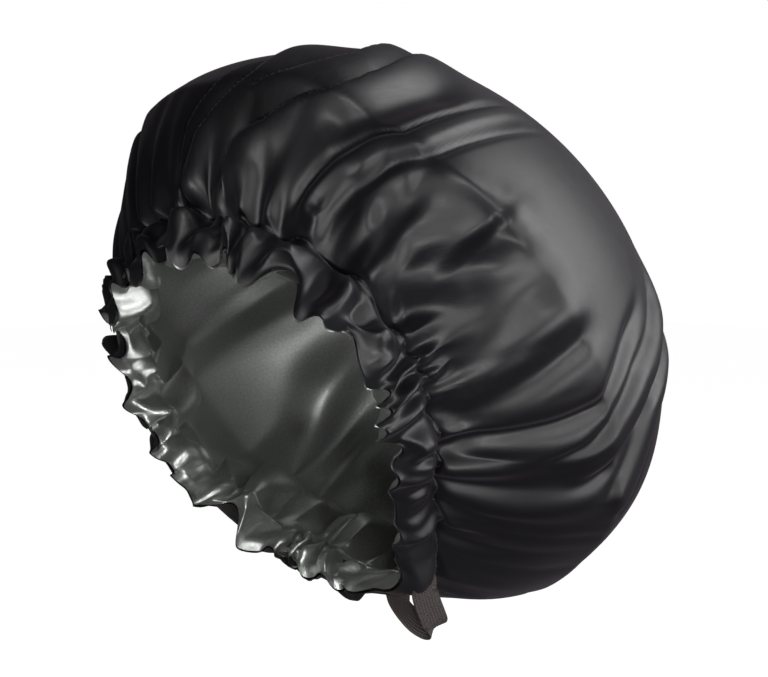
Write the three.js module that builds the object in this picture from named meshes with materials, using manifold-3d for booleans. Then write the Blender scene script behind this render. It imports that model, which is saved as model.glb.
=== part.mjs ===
// A reversible satin sleep bonnet in the shape that it takes on a head. Two layers of cloth, black
// outside and silver inside, are gathered on an elastic that runs in a casing round the opening.
// At the nape the elastic comes out of the casing as a short adjusting loop.
// Millimetres, +Z up, -Y to the front. The origin is the middle of the elastic ring.

import * as THREE from "three";
import { mergeVertices } from "three/addons/utils/BufferGeometryUtils.js";
import Module from "manifold-3d";

// Main sizes
const CROWN_RADIUS = 136; // widest part of the crown, between folds
const CROWN_HEIGHT = 172; // elastic's middle line to the top of the crown, along its axis
const WIDEST_HEIGHT = 57; // elastic's middle line to the widest part
const SHOULDER_BEND = 1.54; // 1 is a round shoulder and 2 a straight slope
const CROWN_DROOP = 5; // how far the top of the crown hangs towards the nape
const WORN_TILT = 59; // degrees that the crown's axis leans back from upright

// The elastic's middle line round the opening, as shares of its radius at angles round the crown's
// axis. Angles are in degrees: 0 at the wearer's left, 90 at the nape and -90 at the forehead. The
// strap pulls the opening to a point beside the nape. The line is about 53 cm long.
const OPENING_RADIUS = 85;
const OPENING_SHAPE = [
  { angle: -165, share: 1.024 },
  { angle: -135, share: 1.059 },
  { angle: -105, share: 1.059 },
  { angle: -75, share: 1.047 },
  { angle: -45, share: 1.082 },
  { angle: -20, share: 1.012 },
  { angle: 5, share: 0.894 },
  { angle: 30, share: 0.835 },
  { angle: 50, share: 0.918 },
  { angle: 68, share: 1.106 },
  { angle: 85, share: 1.035 },
  { angle: 110, share: 0.976 },
  { angle: 135, share: 0.976 },
  { angle: 165, share: 1.035 },
];
const STRAP_ANGLE = 68;

// Cloth
const CLOTH_THICKNESS = 1.6; // satin with its crinkles, one layer
const LAYER_GAP = 0.6; // air between the two layers in the crown

// Casing and elastic
const CASING_WIDTH = 21; // opening's edge to the seam
const CASING_FLARE = 5; // how much wider the seam is than the edge, in radius
const ELASTIC_WIDTH = 12;
const ELASTIC_THICKNESS = 1.2;
const ELASTIC_CLEARANCE = 1; // elastic to the cloth on each side
const CASING_TURN = 3.5; // height over which the two layers part around the elastic

// Gathers
const GATHER_COUNT = 27; // puckers round the elastic
const GATHER_DEPTH = 3.8; // height of a pucker above and below the middle line
const EDGE_WAVE = 2; // how far the opening's edge waves up and down
const SPACING_SWING = 0.5; // how far a pucker strays from even spacing, in puckers

// Strap loop
const LOOP_REACH = 25; // elastic's middle line to the loop's tip
const LOOP_MOUTH = 20; // distance between the two strands where they leave the casing
const LOOP_TIP = 4; // distance between the two strands just before the tip
const LOOP_TWIST = 35; // degrees that the loop is twisted at its tip
const LOOP_TURN = 3; // length over which the strap turns out of the casing
const LOOP_BULGE = 0.8; // how far each strand bows out halfway to the tip
const LOOP_TAIL = 8; // length of each strand inside the casing
const BUTT_GAP = 0.4; // strand's end to the end of the elastic
const SLIT_CLEARANCE = 0.8; // slit to the strap, all round

// Waves that the puckers run out into on the crown. Their depth is a share of the gather depth,
// and their stretch runs from the seam, 0, to the top of the crown, 1.
const CROWN_WAVES = [
  { puckersPerWave: 1.5, depth: 0.8, from: 0.0, peak: 0.14, to: 0.42, phase: 0.6 },
  { puckersPerWave: 3, depth: 0.6, from: 0.04, peak: 0.28, to: 0.66, phase: 2.1 },
];

// Single folds of the crown. A ridge has a positive depth and a hollow a negative one, as a share
// of the gather depth. Angles are in degrees round the crown's axis: 0 at the wearer's left,
// 90 at the nape, -90 at the forehead. The sweep turns the fold between its two ends.
const CROWN_FOLDS = [
  { name: "forehead ridge", angle: -92, sweep: 5, width: 5, from: 0, to: 0.62, depth: 0.7 },
  { name: "forehead hollow", angle: -82, sweep: 8, width: 5, from: 0, to: 0.5, depth: -1.4 },
  { name: "temple ridge", angle: -104, sweep: 4, width: 5, from: 0, to: 0.5, depth: 0.5 },
  { name: "temple hollow", angle: -112, sweep: 4, width: 5, from: 0, to: 0.5, depth: -1.4 },
  { name: "high fold", angle: -71, sweep: 12, width: 5, from: 0, to: 0.6, depth: 0.7 },
  { name: "high hollow", angle: -61, sweep: 6, width: 6, from: 0, to: 0.5, depth: -1.4 },
  { name: "long fold", angle: -51, sweep: 12, width: 5, from: 0.02, to: 0.66, depth: 1.0 },
  { name: "upper hollow", angle: -38, sweep: 5, width: 8, from: 0.04, to: 0.46, depth: -1.6 },
  { name: "side hollow", angle: -25, sweep: 0, width: 6, from: 0.02, to: 0.4, depth: -1.4 },
  { name: "ear hollow", angle: -4, sweep: 2, width: 7, from: 0.03, to: 0.4, depth: -1.2 },
  { name: "low fold", angle: 8, sweep: -6, width: 5, from: 0, to: 0.6, depth: -1.3 },
  { name: "back fold", angle: 22, sweep: 10, width: 6, from: 0.2, to: 0.75, depth: -0.9 },
  { name: "right back ridge", angle: 122, sweep: 8, width: 6, from: 0, to: 0.6, depth: -1.6 },
  { name: "right side ridge", angle: 145, sweep: 2, width: 5, from: 0, to: 0.7, depth: -1.4 },
  { name: "right front ridge", angle: 155, sweep: 12, width: 6, from: 0, to: 0.7, depth: -2.0 },
  { name: "right temple hollow", angle: 179, sweep: 4, width: 7, from: 0.1, to: 0.7, depth: 1.0 },
];

// Rings of vertices, from the seam to the last one below the top. The share is the way up the
// crown. The last ring is the coarsest, and the others have two or four times its points.
const LAST_RING_POINTS = 40;
const CROWN_RINGS = [
  { share: 0.045, times: 4 },
  { share: 0.105, times: 4 },
  { share: 0.18, times: 2 },
  { share: 0.28, times: 2 },
  { share: 0.41, times: 2 },
  { share: 0.57, times: 2 },
  { share: 0.77, times: 1 },
];

const SATIN_BLACK = { color: 0x17161a, roughness: 0.38, metalness: 0 };
const SATIN_SILVER = { color: 0xa9ada9, roughness: 0.34, metalness: 0 };
const ELASTIC_BLACK = { color: 0x262426, roughness: 0.85, metalness: 0 };

const degrees = THREE.MathUtils.degToRad;
const smooth = THREE.MathUtils.smoothstep;
const mix = THREE.MathUtils.lerp;

// Worked out from the sizes above
const seamHeight = CASING_WIDTH / 2;
const shoulderReach = CROWN_RADIUS - OPENING_RADIUS - CASING_FLARE / 2;
const shoulderRise = WIDEST_HEIGHT - seamHeight;
const domeRise = CROWN_HEIGHT - WIDEST_HEIGHT;
const shoulderLength = (Math.PI / 2) * Math.sqrt((shoulderReach ** 2 + shoulderRise ** 2) / 2);
const domeLength = (Math.PI / 2) * Math.sqrt((CROWN_RADIUS ** 2 + domeRise ** 2) / 2);
const shoulderShare = shoulderLength / (shoulderLength + domeLength);
const layerOffset = (CLOTH_THICKNESS + LAYER_GAP) / 2;
const casingOffset = ELASTIC_THICKNESS / 2 + ELASTIC_CLEARANCE + CLOTH_THICKNESS / 2;
const casingTurnShare = CASING_TURN / CASING_WIDTH;

// 1 on the middle of a stretch, falling smoothly to 0 at its ends
function swell(value, from, peak, to) {
  return smooth(value, from, peak) * (1 - smooth(value, peak, to));
}

// The difference between two angles, from -180 to 180 degrees
function turnBetween(a, b) {
  return THREE.MathUtils.euclideanModulo(a - b + 180, 360) - 180;
}

// Radius of the elastic's middle line, smooth between the angles of the table
function openingRadius(angle) {
  let sum = 0;
  let weights = 0;
  for (const { angle: at, share } of OPENING_SHAPE) {
    const away = turnBetween(THREE.MathUtils.radToDeg(angle), at) / 11;
    const weight = Math.exp(-away * away);
    sum += weight * share;
    weights += weight;
  }
  return (OPENING_RADIUS * sum) / weights;
}

// Puckers aren't evenly spaced, so their own angle runs ahead of and behind the true one.
function trueAngle(gatherAngle) {
  const stray = Math.sin(3 * gatherAngle + 0.7) + 0.8 * Math.sin(5 * gatherAngle + 2.4);
  return gatherAngle + ((SPACING_SWING * 2 * Math.PI) / GATHER_COUNT) * stray * 0.5;
}

// The strap comes out where the puckers are flat.
function flatAtStrap(angle) {
  const away = Math.abs(turnBetween(THREE.MathUtils.radToDeg(angle), STRAP_ANGLE));
  const mouth = THREE.MathUtils.radToDeg((LOOP_MOUTH / 2 + LOOP_TURN) / OPENING_RADIUS);
  return smooth(away, mouth, 2 * mouth);
}

// Height of the puckers above the middle line, at a pucker's own angle
function pucker(gatherAngle) {
  const uneven = 1 + 0.4 * Math.sin(4 * gatherAngle + 1.1) + 0.3 * Math.sin(7 * gatherAngle + 0.3);
  return GATHER_DEPTH * uneven * Math.cos(GATHER_COUNT * gatherAngle) * flatAtStrap(trueAngle(gatherAngle));
}

// Height of the folds above the smooth crown
function crownFolds(gatherAngle, share) {
  let height = pucker(gatherAngle) * (1 - smooth(share, 0.02, 0.26));
  for (const wave of CROWN_WAVES) {
    const turns = GATHER_COUNT / wave.puckersPerWave;
    const uneven = 1 + 0.4 * Math.sin(2 * gatherAngle + wave.phase);
    const along = swell(share, wave.from, wave.peak, wave.to);
    height += GATHER_DEPTH * wave.depth * uneven * along * Math.cos(turns * gatherAngle + wave.phase);
  }
  const angle = THREE.MathUtils.radToDeg(trueAngle(gatherAngle));
  for (const fold of CROWN_FOLDS) {
    const middle = mix(fold.from, fold.to, 0.45);
    const along = swell(share, fold.from, middle, fold.to);
    const sweep = (fold.sweep * (share - fold.from)) / (fold.to - fold.from);
    const aside = turnBetween(angle, fold.angle + sweep) / fold.width;
    height += GATHER_DEPTH * fold.depth * along * Math.exp(-aside * aside);
  }
  return height;
}

// The crown's outline without folds, as a radius and a height. Up runs from 0 at the seam to 1 at
// the top of the crown.
function outline(up) {
  if (up < shoulderShare) {
    const turn = (Math.PI / 2) * (up / shoulderShare);
    const out = Math.sin(turn) ** SHOULDER_BEND;
    const rise = 1 - Math.cos(turn) ** SHOULDER_BEND;
    return new THREE.Vector2(CROWN_RADIUS - shoulderReach * (1 - out), seamHeight + shoulderRise * rise);
  }
  const turn = (Math.PI / 2) * ((up - shoulderShare) / (1 - shoulderShare));
  return new THREE.Vector2(CROWN_RADIUS * Math.cos(turn), WIDEST_HEIGHT + domeRise * Math.sin(turn));
}

// How far the crown has sagged towards the nape
function droop(up) {
  return CROWN_DROOP * smooth(up, 0, 0.7);
}

// The sheet between the two layers. Its folds are pushed out from the crown's centre. Up also runs
// down to -1 at the opening's edge.
function sheet(gatherAngle, up) {
  const angle = trueAngle(gatherAngle);
  const opening = openingRadius(angle);
  let at;
  if (up <= 0) {
    const middle = up + 0.5;
    const wave = EDGE_WAVE * smooth(-up, 1 - casingTurnShare, 1) * Math.sin(GATHER_COUNT * gatherAngle + 1);
    const radius = opening + CASING_FLARE * middle + pucker(gatherAngle);
    at = new THREE.Vector2(radius, CASING_WIDTH * middle + wave * flatAtStrap(angle));
  } else {
    at = outline(up);
    at.x += (opening - OPENING_RADIUS) * (1 - smooth(up, 0, shoulderShare));
    const outward = new THREE.Vector2(at.x, at.y - WIDEST_HEIGHT).normalize();
    outward.lerp(new THREE.Vector2(1, 0), 1 - smooth(up, 0, 0.05));
    at.addScaledVector(outward, crownFolds(gatherAngle, up));
  }
  return new THREE.Vector3(at.x * Math.cos(angle), at.x * Math.sin(angle) + droop(up), at.y);
}

// The unit normal of the sheet, pointing out of the crown
function sheetNormal(gatherAngle, up) {
  const step = 2e-3;
  const low = Math.max(-1, up - step);
  const high = Math.min(1 - step, up + step);
  const round = sheet(gatherAngle + step, up).sub(sheet(gatherAngle - step, up));
  const rise = sheet(gatherAngle, high).sub(sheet(gatherAngle, low));
  return round.cross(rise).normalize();
}

// A point of one face of a layer: side is 1 for the outer cloth and -1 for the lining, and face is
// 1 on its outside and -1 on its inside. In the casing the layers part, the outer one puckering
// outwards and the lining inwards, to let the elastic through.
function facePoint(gatherAngle, up, side, face) {
  const middle = sheet(gatherAngle, up);
  const away = side * layerOffset + (face * CLOTH_THICKNESS) / 2;
  const together = middle.clone().addScaledVector(sheetNormal(gatherAngle, up), away);
  if (up >= 0) return together;
  const inCasing = 1 + up;
  const apart = smooth(inCasing, 0, casingTurnShare) * smooth(1 - inCasing, 0, casingTurnShare);
  const angle = trueAngle(gatherAngle);
  const bulge = Math.max(0, side * pucker(gatherAngle));
  const radius = openingRadius(angle) + side * (casingOffset + bulge) + (face * CLOTH_THICKNESS) / 2;
  const parted = new THREE.Vector3(radius * Math.cos(angle), radius * Math.sin(angle), middle.z);
  return together.lerp(parted, apart);
}

// One face of a layer, as rings of points from the opening's edge to the last ring below the top
function faceRings(side, face) {
  const casingUps = [-1, casingTurnShare - 1, -casingTurnShare, 0];
  const rings = [...casingUps.map((share) => ({ share, times: 4 })), ...CROWN_RINGS];
  return rings.map(({ share, times }) => {
    const points = times * LAST_RING_POINTS;
    return Array.from({ length: points }, (_, i) => facePoint((2 * Math.PI * i) / points, share, side, face));
  });
}

// The top of a layer's face, where its rings close
function faceTop(side, face) {
  const height = CROWN_HEIGHT + side * layerOffset + (face * CLOTH_THICKNESS) / 2;
  return new THREE.Vector3(0, droop(1), height);
}

// Triangles between two rings of vertex numbers, the upper one as dense as the lower one or half
function stitch(lower, upper, triangles) {
  const halved = lower.length / upper.length === 2;
  lower.forEach((a, i) => {
    const b = lower[(i + 1) % lower.length];
    if (!halved) {
      const c = upper[i];
      const d = upper[(i + 1) % upper.length];
      triangles.push([a, b, d], [a, d, c]);
      return;
    }
    const c = upper[Math.floor(i / 2)];
    const d = upper[(Math.floor(i / 2) + 1) % upper.length];
    if (i % 2 === 0) triangles.push([a, b, c]);
    else triangles.push([a, b, d], [a, d, c]);
  });
}

// A layer of cloth as a closed wall: its outside, its inside and the strip along the edge
function clothLayer(side) {
  const points = [];
  const number = (point) => points.push(point) - 1;
  const triangles = [];
  const edges = [1, -1].map((face) => {
    const rings = faceRings(side, face).map((ring) => ring.map(number));
    const faces = [];
    for (let i = 1; i < rings.length; i++) stitch(rings[i - 1], rings[i], faces);
    const last = rings[rings.length - 1];
    const top = number(faceTop(side, face));
    last.forEach((a, i) => faces.push([a, last[(i + 1) % last.length], top]));
    triangles.push(...(face > 0 ? faces : faces.map(([a, b, c]) => [a, c, b])));
    return rings[0];
  });
  stitch(edges[1], edges[0], triangles);
  const geometry = new THREE.BufferGeometry().setFromPoints(points);
  return geometry.setIndex(triangles.flat());
}

// A point on the elastic's middle line, in the plane of the opening
function elasticPoint(angle) {
  return new THREE.Vector2(Math.cos(angle), Math.sin(angle)).multiplyScalar(openingRadius(angle));
}

// Angle from the strap's own to a point of the elastic that is so many millimetres from it
function strapAngle(distance) {
  return distance / openingRadius(degrees(STRAP_ANGLE));
}

// The elastic runs round the casing from one strand of the strap to the other.
function elasticLine() {
  const start = degrees(STRAP_ANGLE) + strapAngle(LOOP_MOUTH / 2 + LOOP_TURN + LOOP_TAIL + BUTT_GAP);
  const end = start + 2 * (Math.PI + degrees(STRAP_ANGLE) - start);
  return Array.from({ length: 73 }, (_, i) => elasticPoint(mix(start, end, i / 72)));
}

// Each strand of the strap starts beside the elastic's end, turns out of the casing and runs to
// the tip of the loop.
function strapLine() {
  const strap = degrees(STRAP_ANGLE);
  const out = new THREE.Vector2(Math.cos(strap), Math.sin(strap));
  const aside = new THREE.Vector2(-out.y, out.x);
  const tip = openingRadius(strap) + LOOP_REACH - ELASTIC_THICKNESS / 2;
  const strand = (side) => {
    const tail = [1, 0.5, 0].map((share) =>
      elasticPoint(strap + side * strapAngle(LOOP_MOUTH / 2 + LOOP_TURN + share * LOOP_TAIL)),
    );
    const mouth = openingRadius(strap + side * strapAngle(LOOP_MOUTH / 2));
    const corners = [
      { reach: mouth + 0.3 * LOOP_TURN, half: LOOP_MOUTH / 2 + 0.4 * LOOP_TURN },
      { reach: mouth + LOOP_TURN, half: LOOP_MOUTH / 2 },
      { reach: mix(mouth + LOOP_TURN, tip, 0.5), half: mix(LOOP_MOUTH, LOOP_TIP, 0.5) / 2 + LOOP_BULGE },
      { reach: tip - LOOP_TIP / 2, half: LOOP_TIP / 2 },
    ];
    const outside = corners.map(({ reach, half }) =>
      out.clone().multiplyScalar(reach).addScaledVector(aside, side * half),
    );
    return [...tail, ...outside];
  };
  return [...strand(-1), out.clone().multiplyScalar(tip), ...strand(1).reverse()];
}

// A flat ribbon along a line, as wide as the elastic
function ribbon(line, steps) {
  const curve = new THREE.CatmullRomCurve3(line.map((p) => new THREE.Vector3(p.x, p.y, 0)), false, "centripetal");
  const smoothed = curve.getPoints(steps);
  const side = (offset) =>
    smoothed.map((p, i) => {
      const before = smoothed[Math.max(0, i - 1)];
      const after = smoothed[Math.min(steps, i + 1)];
      const along = after.clone().sub(before).normalize();
      return new THREE.Vector2(p.x + along.y * offset, p.y - along.x * offset);
    });
  const shape = new THREE.Shape([...side(ELASTIC_THICKNESS / 2), ...side(-ELASTIC_THICKNESS / 2).reverse()]);
  const geometry = new THREE.ExtrudeGeometry(shape, { depth: ELASTIC_WIDTH, bevelEnabled: false });
  return geometry.translate(0, 0, -ELASTIC_WIDTH / 2);
}

// Twists the loop about the line from the crown's axis to its tip.
function twistLoop(geometry) {
  geometry.rotateZ(-degrees(STRAP_ANGLE));
  const position = geometry.attributes.position;
  const tip = openingRadius(degrees(STRAP_ANGLE)) + LOOP_REACH;
  for (let i = 0; i < position.count; i++) {
    const point = new THREE.Vector3().fromBufferAttribute(position, i);
    const twist = degrees(LOOP_TWIST) * smooth(point.x, tip - 0.68 * LOOP_REACH, tip);
    point.applyAxisAngle(new THREE.Vector3(1, 0, 0), twist);
    position.setXYZ(i, point.x, point.y, point.z);
  }
  return geometry.rotateZ(degrees(STRAP_ANGLE));
}

const wasm = await Module();
wasm.setup();

// A closed geometry as a solid for cutting, and back
function solidOf(geometry) {
  const bare = geometry.index ? geometry.toNonIndexed() : geometry.clone();
  bare.deleteAttribute("normal");
  bare.deleteAttribute("uv");
  const merged = mergeVertices(bare, 1e-4);
  const vertProperties = merged.attributes.position.array;
  const triVerts = new Uint32Array(merged.index.array);
  return new wasm.Manifold(new wasm.Mesh({ numProp: 3, vertProperties, triVerts }));
}

function geometryOf(solid) {
  const mesh = solid.getMesh();
  const geometry = new THREE.BufferGeometry();
  geometry.setAttribute("position", new THREE.BufferAttribute(mesh.vertProperties, 3));
  return geometry.setIndex(new THREE.BufferAttribute(mesh.triVerts, 1));
}

// The buttonholes in the outer cloth of the casing, one for each strand of the strap
function strapSlit(side) {
  const strap = degrees(STRAP_ANGLE);
  const width = LOOP_TURN + ELASTIC_THICKNESS + 2 * SLIT_CLEARANCE;
  const height = ELASTIC_WIDTH + 2 * SLIT_CLEARANCE;
  const depth = casingOffset + CLOTH_THICKNESS + GATHER_DEPTH;
  const mouthAngle = strapAngle(LOOP_MOUTH / 2 + LOOP_TURN);
  const ring = openingRadius(strap + side * mouthAngle) * Math.cos(mouthAngle);
  const slit = new THREE.BoxGeometry(depth, width, height);
  slit.translate(ring + ELASTIC_THICKNESS / 2 + depth / 2, side * (LOOP_MOUTH / 2 + 0.37 * LOOP_TURN), 0);
  return slit.rotateZ(strap);
}

function piece(name, geometry, look) {
  const mesh = new THREE.Mesh(geometry, new THREE.MeshStandardMaterial(look));
  mesh.name = name;
  return mesh;
}

const slits = [1, -1].map((side) => solidOf(strapSlit(side)));
const outerCloth = slits.reduce((cloth, slit) => cloth.subtract(slit), solidOf(clothLayer(1)));

const bonnet = new THREE.Group();
bonnet.add(
  piece("outer_shell", geometryOf(outerCloth), SATIN_BLACK),
  piece("lining", clothLayer(-1), SATIN_SILVER),
  piece("elastic_band", ribbon(elasticLine(), 72), ELASTIC_BLACK),
  piece("strap_loop", twistLoop(ribbon(strapLine(), 36)), ELASTIC_BLACK),
);
bonnet.rotation.x = -degrees(WORN_TILT);

const worn = new THREE.Group();
worn.add(bonnet);
worn.updateMatrixWorld(true);

export default worn;
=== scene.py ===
# %% [markdown]
# # A satin sleep bonnet
# This lesson dresses a plain solid model of a sleep bonnet in real cloth. The bonnet is two round
# discs of satin, black outside and silver inside. Near the edge a seam runs round them and makes a
# casing, and an elastic in the casing gathers both discs to the size of a head.
# The solid model gives every size and place, so it is loaded first and never moved. All lengths
# below are in millimetres, because a sewer thinks in them, and become metres at the very end.

import math

import bpy
import numpy as np
from mathutils import Matrix, Vector
from mathutils.bvhtree import BVHTree


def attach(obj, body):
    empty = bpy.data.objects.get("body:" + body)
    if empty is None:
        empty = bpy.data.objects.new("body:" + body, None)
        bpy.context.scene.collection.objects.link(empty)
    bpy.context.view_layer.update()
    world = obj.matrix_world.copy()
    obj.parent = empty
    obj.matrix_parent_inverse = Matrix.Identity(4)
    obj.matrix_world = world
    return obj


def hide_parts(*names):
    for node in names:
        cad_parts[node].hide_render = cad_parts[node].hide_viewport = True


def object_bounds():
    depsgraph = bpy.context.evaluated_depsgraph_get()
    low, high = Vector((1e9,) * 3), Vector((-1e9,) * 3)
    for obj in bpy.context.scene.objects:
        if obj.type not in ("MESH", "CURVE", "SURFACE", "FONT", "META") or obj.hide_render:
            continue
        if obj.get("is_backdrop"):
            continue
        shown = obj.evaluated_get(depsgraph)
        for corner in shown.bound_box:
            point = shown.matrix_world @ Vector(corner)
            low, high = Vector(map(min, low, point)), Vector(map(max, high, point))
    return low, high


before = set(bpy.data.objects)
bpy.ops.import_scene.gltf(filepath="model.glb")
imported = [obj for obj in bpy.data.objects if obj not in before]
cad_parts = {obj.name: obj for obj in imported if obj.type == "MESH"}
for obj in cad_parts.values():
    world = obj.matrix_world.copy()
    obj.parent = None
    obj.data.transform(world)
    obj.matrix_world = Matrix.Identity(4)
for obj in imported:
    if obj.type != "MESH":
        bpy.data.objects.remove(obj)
cad_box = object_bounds()
print("solid pieces:", sorted(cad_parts))

# %% [markdown]
# The camera comes first, because every later step is judged through it. The photograph looks at the
# bonnet from its front left, a little from above. One pixel shows 0.43 mm of the bonnet. A lens
# seen from 1.6 m gives nearly no perspective, as in a product photograph. The camera turns towards
# a point beside the bonnet's middle, which puts the bonnet where it is in the photograph without
# shifting the lens.

# %% Aim the camera
PHOTO_WIDTH, PHOTO_HEIGHT = 768, 677
PIXEL = 0.00043  # metres that one pixel shows
CAMERA_SIDE = math.radians(46.93)
CAMERA_RISE = math.radians(5)
CAMERA_DISTANCE = 1.6
OPENING_PIXEL = (281.5, 412.8)  # where the middle of the opening is in the photograph


def shown(name, data):
    """A new object in the scene."""
    thing = bpy.data.objects.new(name, data)
    bpy.context.scene.collection.objects.link(thing)
    return thing


back = Vector(
    (
        math.sin(CAMERA_SIDE) * math.cos(CAMERA_RISE),
        -math.cos(CAMERA_SIDE) * math.cos(CAMERA_RISE),
        math.sin(CAMERA_RISE),
    )
)
right = Vector((math.cos(CAMERA_SIDE), math.sin(CAMERA_SIDE), 0))
above = back.cross(right)
picture_middle = PIXEL * (
    right * (PHOTO_WIDTH / 2 - OPENING_PIXEL[0]) - above * (PHOTO_HEIGHT / 2 - OPENING_PIXEL[1])
)
camera = shown("camera", bpy.data.cameras.new("camera"))
camera.location = back * CAMERA_DISTANCE
camera.rotation_mode = "QUATERNION"
camera.rotation_quaternion = (picture_middle - camera.location).to_track_quat("-Z", "Y")
camera.data.lens = camera.data.sensor_width * CAMERA_DISTANCE / (PHOTO_WIDTH * PIXEL)
bpy.context.scene.camera = camera
print("lens", round(camera.data.lens, 1), "mm")

# %% [markdown]
# Colours are written as the hex values that a paint program shows. Blender reckons with linear
# light, so one function turns them.

# %% Colours and lengths


def linear(hex_colour):
    """A hex colour as linear red, green, blue and alpha."""
    shares = [int(hex_colour[i : i + 2], 16) / 255 for i in (1, 3, 5)]
    return [s / 12.92 if s <= 0.04045 else ((s + 0.055) / 1.055) ** 2.4 for s in shares] + [1.0]


def new_material(name):
    """An empty node material, its node tree and its output node."""
    material = bpy.data.materials.new(name)
    material.use_nodes = True
    nodes = material.node_tree.nodes
    nodes.clear()
    return material, material.node_tree, nodes.new("ShaderNodeOutputMaterial")


def add_node(tree, kind, settings=None, values=None, links=None):
    """Adds a node. Settings are its own properties, values its input numbers, and links the
    outputs of other nodes that its inputs take."""
    node = tree.nodes.new("ShaderNode" + kind)
    for name, value in (settings or {}).items():
        setattr(node, name, value)
    for name, value in (values or {}).items():
        node.inputs[name].default_value = value
    for name, (source, output) in (links or {}).items():
        tree.links.new(source.outputs[output], node.inputs[name])
    return node


print("black satin is", [round(v, 4) for v in linear("#110f14")[:3]], "in linear light")

# %% [markdown]
# The studio is a white floor far below the bonnet and five soft lamps. Satin shows its form only
# through what it mirrors, so each lamp has one part of the bonnet to light. The crown lamp is the
# largest. It stands to the right and behind, and gives the broad soft sheen on the crown. The side
# lamp carries that sheen on towards the front. The table lamp is low, and stands for the light that
# a white table sends up to the near casing. The hollow lamp is beside the camera and lights the
# inside, and the ruffle lamp is low in front and makes the silver ruffles glint. Floor and world
# are white where the camera sees them and dark as lamps, so that the deep folds stay black.

# %% Floor, world and lamps
FLOOR_DROP = 0.45  # metres below the opening
FLOOR_REACH = 6.0  # metres from its middle to each edge
WHITE = linear("#ffffff")


def make_floor():
    """A matt white floor that glows for the camera alone and is dark for the cloth."""
    edge = FLOOR_REACH
    mesh = bpy.data.meshes.new("floor")
    corners = [(-edge, -edge), (edge, -edge), (edge, edge), (-edge, edge)]
    mesh.from_pydata([(x, y, -FLOOR_DROP) for x, y in corners], [], [(0, 1, 2, 3)])
    floor = shown("floor", mesh)
    paint, tree, output = new_material("white_studio_floor")
    matt = add_node(tree, "BsdfDiffuse", values={"Color": linear("#f4f4f4")})
    dark = add_node(tree, "BsdfDiffuse", values={"Color": linear("#3c3c3c")})
    path = add_node(tree, "LightPath")
    glow = add_node(tree, "Emission", values={"Color": WHITE, "Strength": 0.97})
    both = add_node(tree, "AddShader", links={0: (matt, 0), 1: (glow, 0)})
    choice = {0: (path, "Is Camera Ray"), 1: (dark, 0), 2: (both, 0)}
    seen = add_node(tree, "MixShader", links=choice)
    tree.links.new(seen.outputs[0], output.inputs["Surface"])
    mesh.materials.append(paint)
    floor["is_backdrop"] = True


def make_world():
    world = bpy.data.worlds.new("white_studio")
    bpy.context.scene.world = world
    world.use_nodes = True
    tree = world.node_tree
    tree.nodes.clear()
    path = add_node(tree, "LightPath")
    dim = add_node(tree, "Background", values={"Color": WHITE, "Strength": 0.02})
    bright = add_node(tree, "Background", values={"Color": WHITE, "Strength": 1.0})
    choice = {0: (path, "Is Camera Ray"), 1: (dim, 0), 2: (bright, 0)}
    seen = add_node(tree, "MixShader", links=choice)
    output = add_node(tree, "OutputWorld")
    tree.links.new(seen.outputs[0], output.inputs["Surface"])


def soft_lamp(name, place, width, height, power):
    """A rectangular lamp at a place in metres that shines at the bonnet's middle."""
    lamp = bpy.data.lights.new(name, "AREA")
    lamp.shape = "RECTANGLE"
    lamp.size, lamp.size_y, lamp.energy = width, height, power
    holder = shown(name, lamp)
    holder.location = place
    holder.rotation_mode = "QUATERNION"
    holder.rotation_quaternion = (Vector((0, 0.04, 0.02)) - Vector(place)).to_track_quat("-Z", "Y")


make_floor()
make_world()
soft_lamp("crown_lamp", (1.15, 0.92, 0.7), 1.5, 1.7, 42)
soft_lamp("side_lamp", (1.53, 0.0, -0.2), 0.9, 0.9, 9)
soft_lamp("table_lamp", (0.75, -0.2, -0.42), 0.5, 0.4, 4)
soft_lamp("hollow_lamp", (1.16, -0.88, 0.2), 0.3, 0.3, 6.5)
soft_lamp("ruffle_lamp", (0.38, -1.4, -0.38), 0.3, 0.3, 12)
bpy.context.scene.view_settings.view_transform = "Standard"

# %% [markdown]
# These sizes are the solid model's own. Places on the bonnet are given by two numbers. The angle
# goes round the crown's axis, with 0 at the wearer's left, 90 at the nape and -90 at the forehead.
# The second, up, is the way along the cloth: -1 at the opening's edge, 0 at the seam of the casing
# and 1 at the top of the crown. A fold can then be put where it is on the real cloth.

# %% Sizes of the bonnet, in millimetres
CROWN_RADIUS = 136
CROWN_HEIGHT = 172
WIDEST_HEIGHT = 57
SHOULDER_BEND = 1.54
CROWN_DROOP = 5
WORN_TILT = math.radians(59)
OPENING_RADIUS = 85
OPENING_SHAPE = np.array(
    [
        (-165, 1.024), (-135, 1.059), (-105, 1.059), (-75, 1.047), (-45, 1.082), (-20, 1.012),
        (5, 0.894), (30, 0.835), (50, 0.918), (68, 1.106), (85, 1.035), (110, 0.976),
        (135, 0.976), (165, 1.035),
    ]
)  # angle, share of the opening's radius
CASING_WIDTH = 21
CASING_FLARE = 5
ELASTIC_WIDTH = 12
ELASTIC_THICKNESS = 1.2
STRAP_ANGLE = 68

SEAM_HEIGHT = CASING_WIDTH / 2
SHOULDER_REACH = CROWN_RADIUS - OPENING_RADIUS - CASING_FLARE / 2
SHOULDER_RISE = WIDEST_HEIGHT - SEAM_HEIGHT
DOME_RISE = CROWN_HEIGHT - WIDEST_HEIGHT
shoulder_length = math.pi / 2 * math.sqrt((SHOULDER_REACH**2 + SHOULDER_RISE**2) / 2)
dome_length = math.pi / 2 * math.sqrt((CROWN_RADIUS**2 + DOME_RISE**2) / 2)
CROWN_LENGTH = shoulder_length + dome_length
SHOULDER_SHARE = shoulder_length / CROWN_LENGTH
print("seam to the top of the crown:", round(CROWN_LENGTH), "mm along the cloth")

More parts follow.
